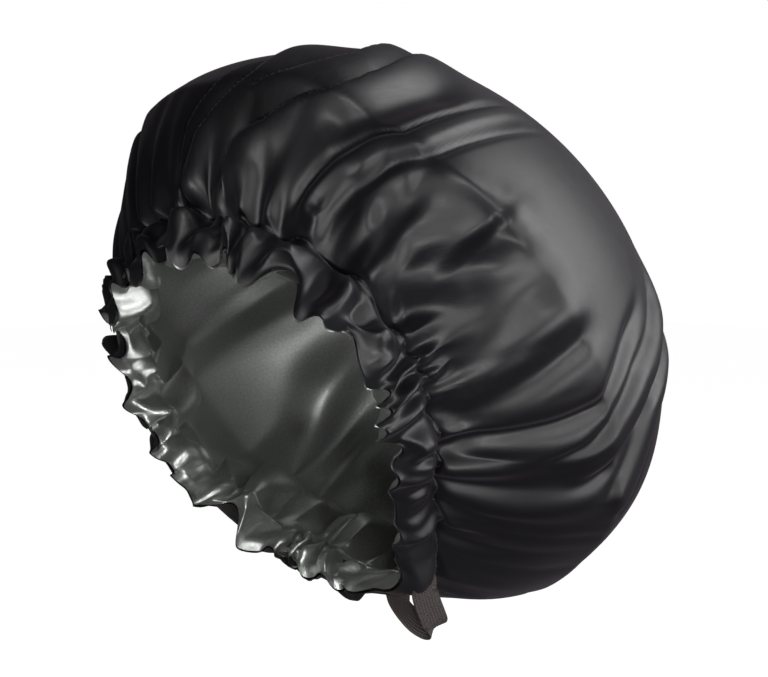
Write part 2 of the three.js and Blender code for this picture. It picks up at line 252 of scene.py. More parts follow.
# %% [markdown]
# The smooth form of the crown is an outline turned round its axis, made of a bent shoulder and a
# round dome. The opening isn't round, because the strap pulls it to a point, so its radius follows
# the table of the angles. Every function takes whole arrays of angles at once, which is how numpy
# makes a mesh of many thousand points in a moment.

# %% The smooth crown


def ease(value, start, end):
    """Rises smoothly from 0 at start to 1 at end."""
    share = np.clip((value - start) / (end - start), 0, 1)
    return share * share * (3 - 2 * share)


def turn_between(a, b):
    return (a - b + 180) % 360 - 180


def by_angle(angle, table, spread):
    """A smooth value round the bonnet from rows of angle and value."""
    away = turn_between(np.asarray(angle, float)[..., None], table[:, 0]) / spread
    weight = np.exp(-away * away)
    return (weight * table[:, 1]).sum(-1) / weight.sum(-1)


def opening_radius(angle):
    return OPENING_RADIUS * by_angle(angle, OPENING_SHAPE, 11)


def outline(up):
    """Radius and height of the smooth crown."""
    shoulder = math.pi / 2 * np.clip(up / SHOULDER_SHARE, 0, 1)
    dome = math.pi / 2 * np.clip((up - SHOULDER_SHARE) / (1 - SHOULDER_SHARE), 0, 1)
    low = up < SHOULDER_SHARE
    radius = np.where(
        low,
        CROWN_RADIUS - SHOULDER_REACH * (1 - np.sin(shoulder) ** SHOULDER_BEND),
        CROWN_RADIUS * np.cos(dome),
    )
    height = np.where(
        low,
        SEAM_HEIGHT + SHOULDER_RISE * (1 - np.cos(shoulder) ** SHOULDER_BEND),
        WIDEST_HEIGHT + DOME_RISE * np.sin(dome),
    )
    return radius, height


def crown_point(angle, up, lift, aside=0):
    """Points of the crown, lifted off its smooth form and moved aside round its axis."""
    radius, height = outline(up)
    radius = radius + (opening_radius(angle) - OPENING_RADIUS) * (1 - ease(up, 0, SHOULDER_SHARE))
    out, rise = radius, height - WIDEST_HEIGHT
    length = np.hypot(out, rise)
    level = 1 - ease(up, 0, 0.05)  # at the seam a fold stands straight out from the axis
    out, rise = out / length * (1 - level) + level, rise / length * (1 - level)
    radius, height = radius + out * lift, height + rise * lift
    turn = np.radians(angle) + aside / np.maximum(radius, 30)
    droop = CROWN_DROOP * ease(up, 0, 0.7)
    return np.stack([radius * np.cos(turn), radius * np.sin(turn) + droop, height], -1)


print("widest across:", 2 * CROWN_RADIUS, "mm; opening", 2 * OPENING_RADIUS, "mm")

# %% [markdown]
# The real bonnet starts as a flat round disc, so the mesh does too. A disc made of rings alone
# pinches at its middle and shows a star there. Here the middle is a patch of squares, and rings of
# equal steps go round it. The rings lie closer near the seam, where the gathers are fine.

# %% The flat disc of cloth
POINTS_AROUND = 320
MIDDLE_SHARE = 0.3  # of the crown's length, made of squares
CROWN_RINGS = 40
CASING_RINGS = 10


def flat_disc():
    """The angle and the up of each point, the square faces, and the rings from the seam inwards."""
    side = POINTS_AROUND // 4
    line = math.sqrt(2) * np.sin(np.radians(np.linspace(-45, 45, side + 1)))
    x, y = np.meshgrid(line, line, indexing="ij")
    patch = MIDDLE_SHARE * np.stack([x * np.sqrt(1 - y * y / 2), y * np.sqrt(1 - x * x / 2)], -1)
    number = np.arange((side + 1) ** 2).reshape(side + 1, side + 1)
    faces = [
        (number[i, j], number[i + 1, j], number[i + 1, j + 1], number[i, j + 1])
        for i in range(side)
        for j in range(side)
    ]
    rim = np.concatenate([number[-1, :-1], number[:0:-1, -1], number[0, :0:-1], number[:-1, 0]])
    turn = np.radians(-45 + 360 * np.arange(POINTS_AROUND) / POINTS_AROUND)
    inward = (1 - np.arange(1, CROWN_RINGS + 1) / CROWN_RINGS) ** 1.2
    spread = np.concatenate(
        [1 - (1 - MIDDLE_SHARE) * inward, 1 + np.arange(1, CASING_RINGS + 1) / CASING_RINGS]
    )
    points, rings, last = [patch.reshape(-1, 2)], [], rim
    for step, distance in enumerate(spread):
        ring = (side + 1) ** 2 + step * POINTS_AROUND + np.arange(POINTS_AROUND)
        points.append(distance * np.stack([np.cos(turn), np.sin(turn)], -1))
        faces += zip(last, ring, np.roll(ring, -1), np.roll(last, -1))
        rings.append(ring)
        last = ring
    flat = np.concatenate(points)
    distance = np.hypot(flat[:, 0], flat[:, 1])
    angle = np.degrees(np.arctan2(flat[:, 1], flat[:, 0]))
    return angle, 1 - distance, [tuple(int(v) for v in face) for face in faces], rings


ANGLE, UP, FACES, RINGS = flat_disc()
print("disc of", len(ANGLE), "points and", len(FACES), "squares")

# %% [markdown]
# An elastic that is shorter than the cloth squeezes it into gathers. At the casing they are round
# lobes about 16 mm wide. Up the crown, narrow valleys run out between them, some far and some not,
# and the cloth swells softly in between. Real gathers are never even, so each row of them is a sum
# of waves with nearly the same width and scattered phases. The scatter comes from numbered seeds,
# so the bonnet is the same each time.

# %% Gathers
LOBE_WIDTH = 16  # of a pucker at the casing
LOBE_HEIGHT = 9.0
LOBE_SLANT = 2.2  # how far a pucker drifts aside as it crosses the casing, in radians of its wave
# How strong the gathers are round the bonnet: weaker where the cloth lies smooth over the crown's
# near side, and almost none where the strap comes out
GATHER_STRENGTH = np.array(
    [
        (-165, 1.1), (-140, 1.1), (-120, 1.1), (-100, 1.0), (-80, 0.9), (-60, 0.9), (-40, 0.9),
        (-20, 0.9), (0, 0.85), (20, 0.7), (40, 0.55), (58, 0.35), (68, 0.15), (78, 0.35),
        (95, 0.8), (115, 1.1), (140, 1.1), (165, 1.1),
    ]
)
# How far the gathers run up the crown, as a share of their full length
GATHER_REACH = np.array(
    [
        (-170, 1.0), (-140, 1.1), (-110, 1.0), (-80, 0.85), (-60, 0.75), (-45, 0.55), (-20, 0.42),
        (0, 0.45), (20, 0.6), (40, 0.8), (70, 0.9), (100, 1.0), (135, 1.0), (155, 1.0),
    ]
)
VALLEYS = 72  # narrow valleys between the gathers of the crown
BROAD_SWELL = 1.8  # height of the soft swells between them, in millimetres


def uneven_waves(angle, width, seed):
    """Waves round the opening with about one width, about 1 high."""
    chance = np.random.default_rng(seed)
    middle = 2 * math.pi * OPENING_RADIUS / width
    counts = np.unique(np.round(middle * np.array([0.7, 0.82, 0.93, 1.0, 1.1, 1.24, 1.4])))
    turn = np.radians(angle)
    waves = [
        chance.uniform(0.5, 1) * np.cos(n * turn + chance.uniform(0, 2 * math.pi)) for n in counts
    ]
    return sum(waves) / math.sqrt(len(waves) * 0.3)


def pucker_turn(angle, up):
    """Where each place is in its pucker: a whole turn from one lobe's top to the next one's."""
    count = round(2 * math.pi * OPENING_RADIUS / LOBE_WIDTH)
    turn = count * np.radians(angle)
    turn = turn + 1.5 * uneven_waves(angle, 120, 61) + 0.8 * uneven_waves(angle, 55, 62)
    return turn + LOBE_SLANT * uneven_waves(angle, 70, 63) * (np.clip(up, -1, 0.3) + 0.5)


def pucker_size(angle):
    """No two puckers are of one height."""
    return np.clip(1 + 0.3 * uneven_waves(angle, 31, 64), 0.45, 1.3)


def valley_list():
    """The valleys between gathers: angle, drift on the way up, reach, depth and width."""
    chance = np.random.default_rng(29)
    step = 360 / VALLEYS
    return [
        (
            -180 + step * (k + chance.uniform(-0.42, 0.42)), chance.normal(0, 13),
            0.12 + 0.6 * chance.beta(1.3, 2.4), chance.uniform(2.6, 5.6), chance.uniform(1.5, 3.0),
        )
        for k in range(VALLEYS)
    ]


def gathers(angle, up):
    """Height of the gathers in millimetres, over the crown."""
    reach = by_angle(angle, GATHER_REACH, 13)
    radius, _ = outline(np.clip(up, 0, 1))
    lobes = 0.5 * LOBE_HEIGHT * np.cos(pucker_turn(angle, up)) * pucker_size(angle)
    height = lobes * (1 - ease(up / reach, 0.0, 0.22))
    for start, drift, end, depth, width in valley_list():
        beside = np.radians(turn_between(angle, start + drift * up)) * radius
        wide = (width + 11 * up) / np.minimum(reach, 1)
        fade = (1 - ease(up / (end * reach), 0.3, 1)) * ease(up, -0.01, 0.05)
        valley = np.exp(-(np.sqrt(beside * beside + 0.2) / wide) ** 1.5)
        height = height + depth * fade * (0.5 * np.exp(-((beside / (2.3 * wide)) ** 2)) - valley)
    broad = BROAD_SWELL * uneven_waves(angle + 8 * up, 60, 13) * ease(up / reach, 0.05, 0.3)
    broad = broad * (1 - ease(up / reach, 0.3, 0.75))
    return (height + broad) * by_angle(angle, GATHER_STRENGTH, 12)


print("gathers at the seam reach", round(float(np.abs(gathers(ANGLE, 0 * UP)).max()), 1), "mm")

# %% [markdown]
# The long folds of the crown are each their own, as on any worn bonnet, so they are listed by name.
# A fold is a line of a few points on the cloth, with a form across it. With groove 0 it is a plain
# swell, or a hollow where its height is below 0. With groove 2 it is a roll with a groove on both
# sides. With 1 or -1 it is a crest that is steep on that side and leans over its groove, which
# makes the sharp dark line that satin shows there. Height, width and lean are in millimetres.

# %% Named folds of the crown


def fold(name, height, width, groove, lean, *line):
    """One fold: its form across, and then the points of its line as angle and up."""
    return {
        "name": name, "height": height, "width": width, "groove": groove, "lean": lean,
        "line": line,
    }


CROWN_FOLDS = (
    fold("forehead crease", 4.0, 5, -1, 1.5, (-104, 0.02), (-100, 0.1), (-99, 0.165), (-96, 0.22),
         (-93, 0.3), (-90, 0.4)),
    fold("brow crease", 5.0, 5.5, -1, 2.0, (-95, 0.02), (-94, 0.1), (-94, 0.145), (-92, 0.18),
         (-89, 0.22), (-86, 0.275), (-86, 0.365), (-87, 0.5)),
    fold("branch of the brow crease", 4.4, 5.5, -1, 2.0, (-88, 0.215), (-83, 0.235), (-78, 0.285),
         (-75, 0.33), (-73, 0.385), (-75, 0.48), (-78, 0.6)),
    fold("long crease", 5.4, 6, -1, 2.0, (-87, 0.04), (-84, 0.12), (-83, 0.14), (-77, 0.17),
         (-73, 0.21), (-68, 0.255), (-66, 0.31), (-65, 0.375), (-67, 0.5), (-70, 0.64)),
    fold("temple pocket", -3.6, 9, 0, 0, (-66, 0.17), (-61, 0.25), (-59, 0.32), (-57, 0.41),
         (-56, 0.5)),
    fold("side roll", 3.6, 6, 2, 0, (-61, 0.04), (-60, 0.1), (-58, 0.15), (-55, 0.2), (-50.5, 0.25),
         (-49, 0.32), (-47.5, 0.39), (-45.5, 0.5), (-42, 0.64)),
    fold("pocket under the side roll", -2.5, 4.5, 0, 0, (-60, 0.08), (-57, 0.13), (-55, 0.17)),
    fold("side hollow", -3.6, 12, 0, 0, (-49, 0.11), (-43, 0.17), (-36, 0.21), (-30, 0.24),
         (-26, 0.3)),
    fold("crest over the side hollow", 2.0, 9, 0, 0, (-48, 0.16), (-44, 0.22), (-38, 0.26),
         (-32, 0.29), (-27, 0.36)),
    fold("crest above the ear", 2.4, 9, 0, 0, (-42, 0.02), (-36, 0.08), (-29, 0.13), (-24, 0.17),
         (-20, 0.24)),
    fold("ear hollow", -4.2, 8, 0, 0, (-30, 0.04), (-26, 0.09), (-22, 0.14), (-24, 0.2)),
    fold("swell above the ear", 4.5, 24, 0, 0, (-32, 0.21), (-16, 0.21), (-2, 0.22)),
    fold("finger above the ear", -3.4, 7, 0, 0, (-40, 0.1), (-34, 0.16), (-28, 0.22), (-21, 0.31)),
    fold("finger over the ear", -4.2, 11, 0, 0, (-10, 0.04), (-13, 0.12), (-18, 0.2), (-18, 0.33)),
    fold("finger behind the ear", -3.6, 7, 0, 0, (5, 0.03), (1, 0.11), (-3, 0.2), (-7, 0.33)),
    fold("nape crease", -4.0, 4.5, 0, 0, (15, 0.0), (11, 0.08), (11, 0.17), (10, 0.24), (6, 0.31),
         (2, 0.38), (0, 0.44), (-3, 0.5)),
    fold("back roll", 3.2, 7, 2, 0, (25, 0.16), (20, 0.24), (16, 0.3), (12, 0.38), (11, 0.46),
         (8, 0.55), (0, 0.66)),
    fold("second back roll", 3.0, 7, 2, 0, (36, 0.24), (27, 0.33), (20, 0.4), (17, 0.5),
         (14, 0.62)),
    fold("low crease", 3.4, 8, 0, 0, (23, 0.0), (22, 0.06), (19, 0.12), (17, 0.2), (16, 0.28)),
    fold("strap crease", 3.2, 9, 0, 0, (43, 0.0), (38, 0.05), (35, 0.1), (32, 0.18), (28, 0.28)),
)


def along_line(angle, up, line):
    """How far each point is beside a fold's line, in millimetres with a sign, and its place along
    the line from 0 to 1."""
    radius, _ = outline(np.clip(up, 0, 1))
    points = np.array(line, float)
    sideways = np.diff(np.radians(points[:, 0])) * CROWN_RADIUS * 0.8
    steps = np.hypot(sideways, np.diff(points[:, 1]) * CROWN_LENGTH)
    start = np.concatenate([[0], np.cumsum(steps)]) / steps.sum()
    nearest = np.full(angle.shape, 1e9)
    beside, place = np.zeros(angle.shape), np.zeros(angle.shape)
    for k in range(len(points) - 1):
        (a0, u0), (a1, u1) = points[k], points[k + 1]
        x = np.radians(turn_between(angle, a0)) * radius
        y = (up - u0) * CROWN_LENGTH
        dx = np.radians(turn_between(a1, a0)) * radius
        dy = (u1 - u0) * CROWN_LENGTH
        share = np.clip((x * dx + y * dy) / (dx * dx + dy * dy), 0, 1)
        gap = np.hypot(x - share * dx, y - share * dy)
        closer = gap < nearest
        nearest = np.where(closer, gap, nearest)
        side = np.sign(x * dy - y * dx)
        beside = np.where(closer, side * gap, beside)
        place = np.where(closer, start[k] + share * (start[k + 1] - start[k]), place)
    return beside, place


def fold_shape(x, groove):
    """The height across a fold, with x in widths of it: 1 at its crest and below 0 in a groove."""
    if groove == 0:
        return np.exp(-x * x)
    if groove == 2:  # a roll with a groove on both sides
        return np.exp(-(x**4)) - 0.6 * np.exp(-(((np.abs(x) - 1.45) / 0.4) ** 2))
    t = x * groove
    gentle = np.exp(-((t / 1.7) ** 2))
    steep = 1.6 * np.exp(-((t / 0.45) ** 2)) - 0.6 * np.exp(-((t / 1.5) ** 2))
    return np.where(t < 0, gentle, steep)


def named_folds(angle, up, folds):
    """Lift and sideways move of the named folds, in millimetres."""
    lift, aside = np.zeros(angle.shape), np.zeros(angle.shape)
    for one in folds:
        beside, place = along_line(angle, up, one["line"])
        taper = ease(place, 0, 0.12) * (1 - ease(place, 0.7, 1))
        x = beside / one["width"]
        lift += one["height"] * taper * fold_shape(x, one["groove"])
        if abs(one["groove"]) == 1:
            aside += one["lean"] * one["groove"] * taper * np.exp(-((x / 0.8) ** 2))
    return lift, aside


print(len(CROWN_FOLDS), "named folds, from the", CROWN_FOLDS[0]["name"], "on")

# %% [markdown]
# The casing is the tube that the elastic lies in. Its outer wall and the lining's wall meet at the
# seam and at the opening's edge, and part around the elastic in between. Where a pucker goes out,
# the outer wall bulges, and where it goes in, the lining does, so the two never touch the elastic.
# The puckers lean over sideways as they are pushed together, most on the side away from the strap,
# and a few puffs of the near side are larger. The edge itself waves up and down.

# %% The casing
CASING_ROOM = 2.0  # elastic's middle to each wall
EDGE_WAVE = 2.8  # how far the edge waves up and down by itself
LOBE_WAVE = 1.8  # how far it rises and falls with each pucker
SWING = 2.0  # how far the middle of the casing strays sideways
EDGE_GAP = 0.7  # from the middle of the two layers to each one where they meet
# How far the puckers lean over sideways, in millimetres
LOBE_LEAN = np.array(
    [
        (-170, 1.7), (-130, 1.6), (-100, 1.0), (-60, 0.6), (0, 0.4), (60, 0.4), (95, 1.2),
        (130, 1.7),
    ]
)
# How deep the puckers of the casing are round the opening
PUCKER_STRENGTH = np.array(
    [
        (-165, 1.0), (-140, 1.0), (-110, 1.0), (-80, 0.9), (-55, 0.8), (-35, 0.8), (-15, 0.8),
        (0, 0.9), (12, 0.6), (25, 0.3), (45, 0.25), (58, 0.3), (68, 0.15), (78, 0.4), (95, 0.9),
        (115, 1.1), (140, 1.1), (165, 1.0),
    ]
)
# Puffs of the outer wall that are larger than the puckers: angle, half width in degrees, height
CASING_PUFFS = ((62, 7, 5.5), (42, 8, 1.6), (24, 7, 1.8), (7, 5, 3.0), (-4, 5, 2.4), (-30, 6, 2.0))


def casing_point(angle, up, side):
    """Points of one wall of the casing: side is 1 for the outer cloth and -1 for the lining."""
    strength = by_angle(angle, PUCKER_STRENGTH, 11)
    size = pucker_size(angle)
    turn_in_pucker = pucker_turn(angle, up)
    # each wall has its lobes where the other has its valleys
    own = 0.5 + 0.5 * side * np.cos(turn_in_pucker)
    across = np.sin(1.7 * math.pi * up + 2.4 * uneven_waves(angle, 80, 46))
    crossing = 0.35 * uneven_waves(angle, 26, 43 + side) * across
    apart = np.sqrt(ease(-up, 0, 0.2) * ease(1 + up, 0, 0.2))  # clear of the elastic all over
    full = ease(-up, 0, 0.5) ** 0.7 * np.sqrt(ease(1 + up, 0, 0.4))  # lobes rise more slowly
    bulge = CASING_ROOM + LOBE_HEIGHT * strength * size * np.clip(own + crossing, 0, 1.15) * full
    if side > 0:
        for middle, wide, high in CASING_PUFFS:
            bulge = bulge + high * full * np.exp(-((turn_between(angle, middle) / wide) ** 2))
    to_seam = ease(up, -0.34, 0)
    meander = 0.5 * LOBE_HEIGHT * strength * size * np.cos(turn_in_pucker)
    together = meander * (1 - to_seam) + gathers(angle, 0 * up) * to_seam
    radius = opening_radius(angle) + CASING_FLARE * (up + 0.5) + side * apart * bulge
    radius = radius + (1 - apart) * (together + side * EDGE_GAP)
    wave = EDGE_WAVE * uneven_waves(angle, 34, 41) + LOBE_WAVE * np.cos(turn_in_pucker + 0.9) * size
    height = CASING_WIDTH * (up + 0.5) + wave * strength * ease(-up, 0.55, 1)
    over = 0.5 * np.sin(2 * turn_in_pucker) + 0.8 * np.cos(turn_in_pucker)
    lean = by_angle(angle, LOBE_LEAN, 14) * strength * size * over * (1 - ease(up, -0.3, 0))
    swing = SWING * uneven_waves(angle, 60, 42) * np.sin(math.pi * np.clip(-up, 0, 1)) * strength
    turn = np.radians(angle) + (lean + swing) / radius
    return np.stack([radius * np.cos(turn), radius * np.sin(turn), height], -1)


opening_width = round(float(opening_radius(ANGLE).mean() * 2))
print("casing", CASING_WIDTH, "mm wide round an opening of", opening_width, "mm")

# %% [markdown]
# Both discs of satin get their points from the same functions. The points are then turned to the
# way that the bonnet is worn, with its crown leaning back, and written into a mesh in metres. The
# mesh also keeps the flat disc as its UV map, because the weave of the satin lies in the flat
# cloth and bends with it.

# %% From points to a mesh


def worn(points):
    """Points in millimetres on the bonnet's own axis, as metres on a head that looks ahead."""
    c, s = math.cos(WORN_TILT), math.sin(WORN_TILT)
    x, y, z = points[..., 0], points[..., 1], points[..., 2]
    return np.stack([x, y * c + z * s, z * c - y * s], -1) / 1000


def upright(points):
    """The way back from metres as worn to millimetres on the bonnet's own axis."""
    c, s = math.cos(WORN_TILT), math.sin(WORN_TILT)
    x, y, z = points[..., 0], points[..., 1], points[..., 2]
    return np.stack([x, y * c - z * s, y * s + z * c], -1) * 1000


def smooth_piece(name, points, faces):
    """A piece with smooth shading, from points in millimetres on the bonnet's own axis."""
    mesh = bpy.data.meshes.new(name)
    mesh.from_pydata(worn(points).tolist(), [], faces)
    mesh.polygons.foreach_set("use_smooth", [True] * len(mesh.polygons))
    return shown(name, mesh)


def points_of(mesh):
    """A mesh's points in metres."""
    flat = np.empty(len(mesh.vertices) * 3)
    mesh.vertices.foreach_get("co", flat)
    return flat.reshape(-1, 3)


def own_points(piece):
    """A piece's points in millimetres on the bonnet's own axis."""
    return upright(points_of(piece.data))


def set_points(piece, points):
    """Moves a piece's points to places in metres."""
    piece.data.vertices.foreach_set("co", points.ravel())
    piece.data.update()


def corner_points(mesh):
    """The number of the point at each corner of each face."""
    corners = np.empty(len(mesh.loops), int)
    mesh.loops.foreach_get("vertex_index", corners)
    return corners


def sheet_of_cloth(name, points):
    """A sheet with the flat disc as its UV map."""
    piece = smooth_piece(name, points, FACES)
    distance = np.where(UP < 0, 1 - UP * CASING_WIDTH / CROWN_LENGTH, 1 - UP)
    flat = distance[:, None] * np.stack([np.cos(np.radians(ANGLE)), np.sin(np.radians(ANGLE))], -1)
    flat = 0.5 + flat * 0.5 * (CROWN_LENGTH / (CROWN_LENGTH + CASING_WIDTH))
    corners = corner_points(piece.data)
    piece.data.uv_layers.new(name="flat_cloth").data.foreach_set("uv", flat[corners].ravel())
    return piece


def outer_start():
    """The outer cloth before the air goes in."""
    up = np.clip(UP, 0, 1)
    crown = crown_point(ANGLE, up, gathers(ANGLE, up) + 0.7 * (1 - ease(up, 0, 0.02)) + 0.4)
    return np.where((UP > 0)[:, None], crown, casing_point(ANGLE, np.clip(UP, -1, 0), 1))


satin_shell = sheet_of_cloth("satin_shell", outer_start())
print("outer cloth of", len(satin_shell.data.vertices), "points")

# %% [markdown]
# A sine wave isn't yet cloth. Blender's Cloth lets the satin settle into forms that cloth can take:
# a little air pressure fills the crown as hair and air do, ridges round off and valleys close to
# thin lines. The casing is pinned, as its stitches pin it. The cloth is given a little more length
# than the form has, near the seam, so it buckles there by itself. A sheet this small hardly moves
# in the time of a few frames, so the simulation runs on a copy ten times as large. Of its result
# only the small buckles near the seam are kept, because the crown's size is the solid model's. They
# are written into the mesh, and no Cloth stays on the piece.

# %% Let the outer cloth settle
SETTLE_SCALE = 10
SETTLE_FRAMES = 20
SETTLE_CAP = 1.5  # the most that a point may move, in millimetres
BUCKLES_END = (0.15, 0.3)  # how far up the crown the buckles fade out

SIDES = np.array([(face[k], face[(k + 1) % 4]) for face in FACES for k in range(4)])
SIDES = np.unique(np.sort(SIDES, 1), axis=0)


def softened(points, rounds, weight=0.5):
    """Moves each point part of the way to the middle of its neighbours, again and again."""
    a, b = SIDES.T
    count = np.bincount(a, minlength=len(points)) + np.bincount(b, minlength=len(points))
    for _ in range(rounds):
        total = np.zeros_like(points)
        np.add.at(total, a, points[b])
        np.add.at(total, b, points[a])
        points = points + weight * (total / count[:, None] - points)
    return points


def settle(piece):
    """Runs Cloth on the crown for a few frames and keeps the result."""
    start = points_of(piece.data)
    grown = shown("settling_cloth", piece.data.copy())
    grown.data.transform(Matrix.Scale(SETTLE_SCALE, 4))
    held = grown.vertex_groups.new(name="casing")
    held.add([int(i) for i in np.where(UP <= 1e-6)[0]], 1.0, "REPLACE")
    loose = grown.vertex_groups.new(name="gathered")
    more = (1 - ease(UP, 0.18, 0.5)) * (UP > 0)
    for i in np.where(more > 0.01)[0]:
        loose.add([int(i)], float(more[i]), "REPLACE")
    cloth = grown.modifiers.new("cloth", "CLOTH")
    settings = cloth.settings
    settings.quality = 5
    settings.mass = 0.05
    settings.tension_stiffness = settings.compression_stiffness = 20
    settings.shear_stiffness = 7
    settings.bending_stiffness = 1
    settings.use_pressure = True
    settings.uniform_pressure_force = 9
    settings.vertex_group_mass = "casing"
    settings.vertex_group_shrink = "gathered"
    settings.shrink_min, settings.shrink_max = 0.0, -0.06
    settings.effector_weights.gravity = 0
    cloth.collision_settings.use_collision = False
    cloth.point_cache.frame_end = SETTLE_FRAMES + 1
    for number in range(1, SETTLE_FRAMES + 1):
        bpy.context.scene.frame_set(number)
    settled = grown.evaluated_get(bpy.context.evaluated_depsgraph_get()).data
    moved = points_of(settled) / SETTLE_SCALE - start
    bpy.data.objects.remove(grown)
    bpy.context.scene.frame_set(1)
    moved = softened(moved, 3) - softened(moved, 70)  # keep the small buckles, not the swelling
    moved *= (1 - ease(UP, *BUCKLES_END))[:, None]
    length = np.linalg.norm(moved, axis=1) * 1000
    moved *= (np.minimum(length, SETTLE_CAP) / np.maximum(length, 1e-6))[:, None]
    set_points(piece, start + moved)
    print("settled: the most that a point moved is", round(min(length.max(), SETTLE_CAP), 1), "mm")


settle(satin_shell)

# %% [markdown]
# One round of subdivision turns the flat squares into soft curves and doubles the points each way.
# It comes before the named folds, because a crease two millimetres wide needs the finer mesh. The
# UV map tells where each new point lies on the flat disc. The casing is simply made again from its
# own function, and the crown is pushed along its own directions: out for a fold's height, and
# aside for its lean.

# %% Smooth the outer cloth and crease it


def subdivide(piece):
    """Applies one round of subdivision to a piece."""
    modifier = piece.modifiers.new("smooth_cloth", "SUBSURF")
    modifier.levels = modifier.render_levels = 1
    modifier.uv_smooth = "PRESERVE_BOUNDARIES"
    graph = bpy.context.evaluated_depsgraph_get()
    finished = bpy.data.meshes.new_from_object(piece.evaluated_get(graph))
    piece.modifiers.clear()
    piece.data = finished
    finished.name = piece.name
    finished.polygons.foreach_set("use_smooth", [True] * len(finished.polygons))


def place_on_disc(mesh):
    """Angle and up of each point of a subdivided sheet, from its UV map."""
    uv = np.empty(len(mesh.loops) * 2)
    mesh.uv_layers["flat_cloth"].data.foreach_get("uv", uv)
    flat = np.zeros((len(mesh.vertices), 2))
    flat[corner_points(mesh)] = uv.reshape(-1, 2)
    flat = (flat - 0.5) * 2 * (CROWN_LENGTH + CASING_WIDTH) / CROWN_LENGTH
    distance = np.hypot(flat[:, 0], flat[:, 1])
    up = np.where(distance > 1, (1 - distance) * CROWN_LENGTH / CASING_WIDTH, 1 - distance)
    return np.degrees(np.arctan2(flat[:, 1], flat[:, 0])), up


def out_of_crown(mesh):
    """The unit direction out of the crown at each point, in the bonnet's own axis."""
    flat = np.empty(len(mesh.vertices) * 3)
    mesh.vertex_normals.foreach_get("vector", flat)
    normals = upright(flat.reshape(-1, 3)) / 1000
    middle = np.array([0, CROWN_DROOP, WIDEST_HEIGHT])
    facing = (normals * (upright(points_of(mesh)) - middle)).sum(-1)
    return normals if np.median(facing) > 0 else -normals


def crease(piece, folds):
    """Puts named folds into a subdivided sheet's crown."""
    angle, up = place_on_disc(piece.data)
    lift, aside = named_folds(angle, up, folds)
    free = ease(up, 0.0, 0.03)
    out = out_of_crown(piece.data)
    turn = np.radians(angle)
    round_axis = np.stack([-np.sin(turn), np.cos(turn), 0 * turn], -1)
    round_axis -= (round_axis * out).sum(-1)[:, None] * out
    points = own_points(piece)
    points = points + (lift * free)[:, None] * out + (aside * free)[:, None] * round_axis
    set_points(piece, worn(points))
    print(piece.name, "creased from", round(lift.min(), 1), "to", round(lift.max(), 1), "mm")


def remake_casing(piece, side):
    """Puts the casing's points back on its own function, after the subdivision."""
    angle, up = place_on_disc(piece.data)
    low = up < 1e-4
    points = own_points(piece)
    points[low] = casing_point(angle[low], np.clip(up[low], -1, 0), side)
    set_points(piece, worn(points))


subdivide(satin_shell)
crease(satin_shell, CROWN_FOLDS)
remake_casing(satin_shell, 1)

# %% [markdown]
# The lining is the same disc in silver. It lies a few millimetres inside the outer cloth and takes
# its larger folds, softened, because the outer cloth's sharp creases don't press through. Inside,
# it hangs a little loose, so it gets folds of its own, which go inwards only and are deepest where
# they leave the casing. Each point is tested against the outer cloth and moved in where it comes
# too near.

# %% The lining
LINING_FOLDS = (
    fold("bright fold", 10.0, 13, 0, 0, (136, 0.04), (138, 0.2), (141, 0.3), (145, 0.41),
         (148, 0.47), (153, 0.66)),
    fold("thin fold", 3.4, 4.5, 0, 0, (133, 0.04), (134, 0.18), (135, 0.34), (135, 0.58)),
    fold("broad fold", 9.0, 12, 0, 0, (122, 0.04), (125, 0.16), (127, 0.3), (129, 0.41),
         (129, 0.6)),
    fold("second broad fold", 7.0, 9, 0, 0, (110, 0.04), (109, 0.16), (107, 0.32), (105, 0.5)),
    fold("nape fold", 7.0, 8, 0, 0, (111, 0.04), (108, 0.16), (103, 0.32)),
    fold("low nape fold", 6.0, 7, 0, 0, (96, 0.04), (93, 0.16), (89, 0.3)),
    fold("far fold", 8.0, 12, 0, 0, (174, 0.04), (175, 0.22), (175, 0.42), (177, 0.66)),
    fold("temple fold", 6.0, 9, 0, 0, (-160, 0.04), (-156, 0.2), (-152, 0.36)),
)
LINING_BANDS = (
    {"width": 17, "height": 4.6, "start": 0.0, "full": 0.09, "end": 0.30, "seed": 21},
    {"width": 30, "height": 4.2, "start": 0.02, "full": 0.2, "end": 0.5, "seed": 22},
)
# The lining's own gathers are long all round, but short where the photograph shows it smooth
LINING_REACH = np.array(
    [
        (-180, 0.7), (-160, 0.8), (-130, 1.3), (-100, 1.4), (-70, 1.5), (-40, 1.6), (-10, 1.6),
        (20, 1.6), (50, 1.5), (75, 1.2), (95, 0.8), (120, 0.55), (150, 0.5), (165, 0.55),
    ]
)
LINING_GAP = 2.4  # outer cloth to the lining, in the crown
SEAM_GAP = 1.5  # the same where the seam holds the two layers together


